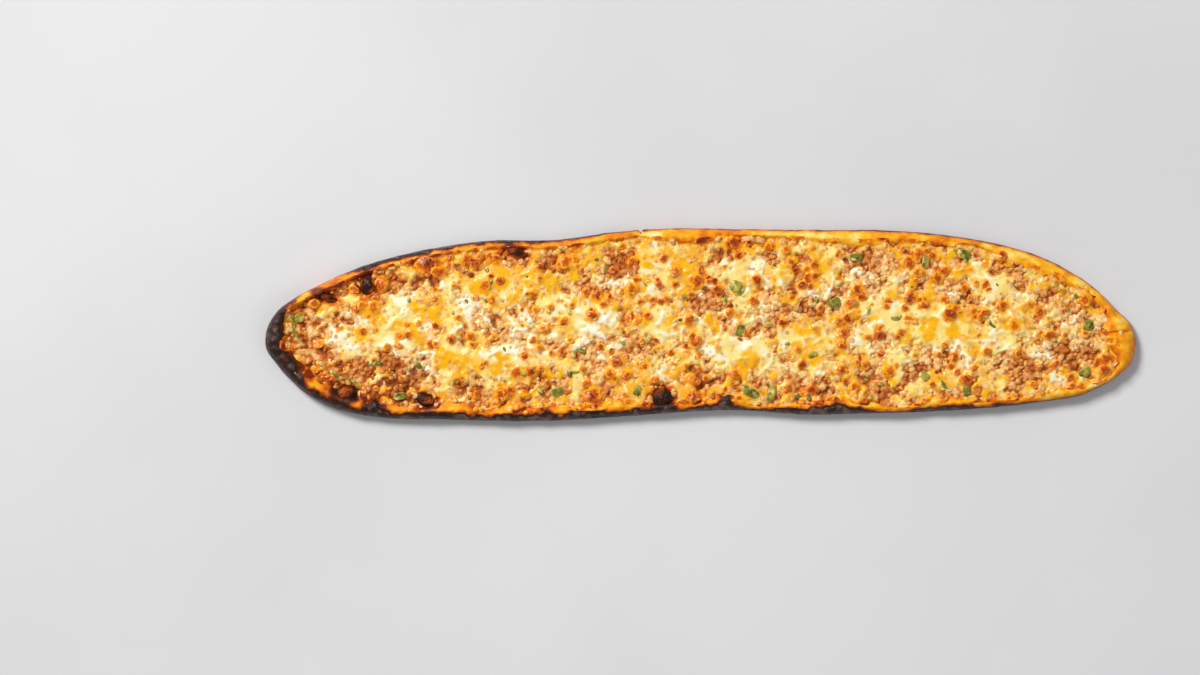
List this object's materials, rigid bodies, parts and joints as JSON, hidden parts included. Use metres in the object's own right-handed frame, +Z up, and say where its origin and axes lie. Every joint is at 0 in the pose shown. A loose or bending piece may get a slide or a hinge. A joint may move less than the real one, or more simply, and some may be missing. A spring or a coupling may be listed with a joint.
{
  "type": "cheese pide",
  "caption": "Long open boat of flat dough with a raised, partly scorched rim, filled with minced meat, green pepper and melted cheese.",
  "frame": {"origin": "centre of the bounding box at its base, where the flat underside rests", "axes": "+X along the length towards the folded golden tip, +Y across, +Z up out of the filling"},
  "size_m": [0.5, 0.111, 0.0138],
  "materials": {
    "dough": "baked crust",
    "minced_meat": "moist crumbs",
    "melted_cheese": "oily, melted",
    "green_pepper": "cooked skin"
  },
  "bodies": {
    "root": {"dough_boat": "dough", "minced_meat": "minced_meat", "melted_cheese": "melted_cheese", "pepper_01": "green_pepper", "pepper_02": "green_pepper", "pepper_03": "green_pepper", "pepper_04": "green_pepper", "pepper_05": "green_pepper", "pepper_06": "green_pepper", "pepper_07": "green_pepper", "pepper_08": "green_pepper", "pepper_09": "green_pepper", "pepper_10": "green_pepper", "pepper_11": "green_pepper", "pepper_12": "green_pepper", "pepper_13": "green_pepper", "pepper_14": "green_pepper", "pepper_15": "green_pepper"}
  },
  "joints": []
}
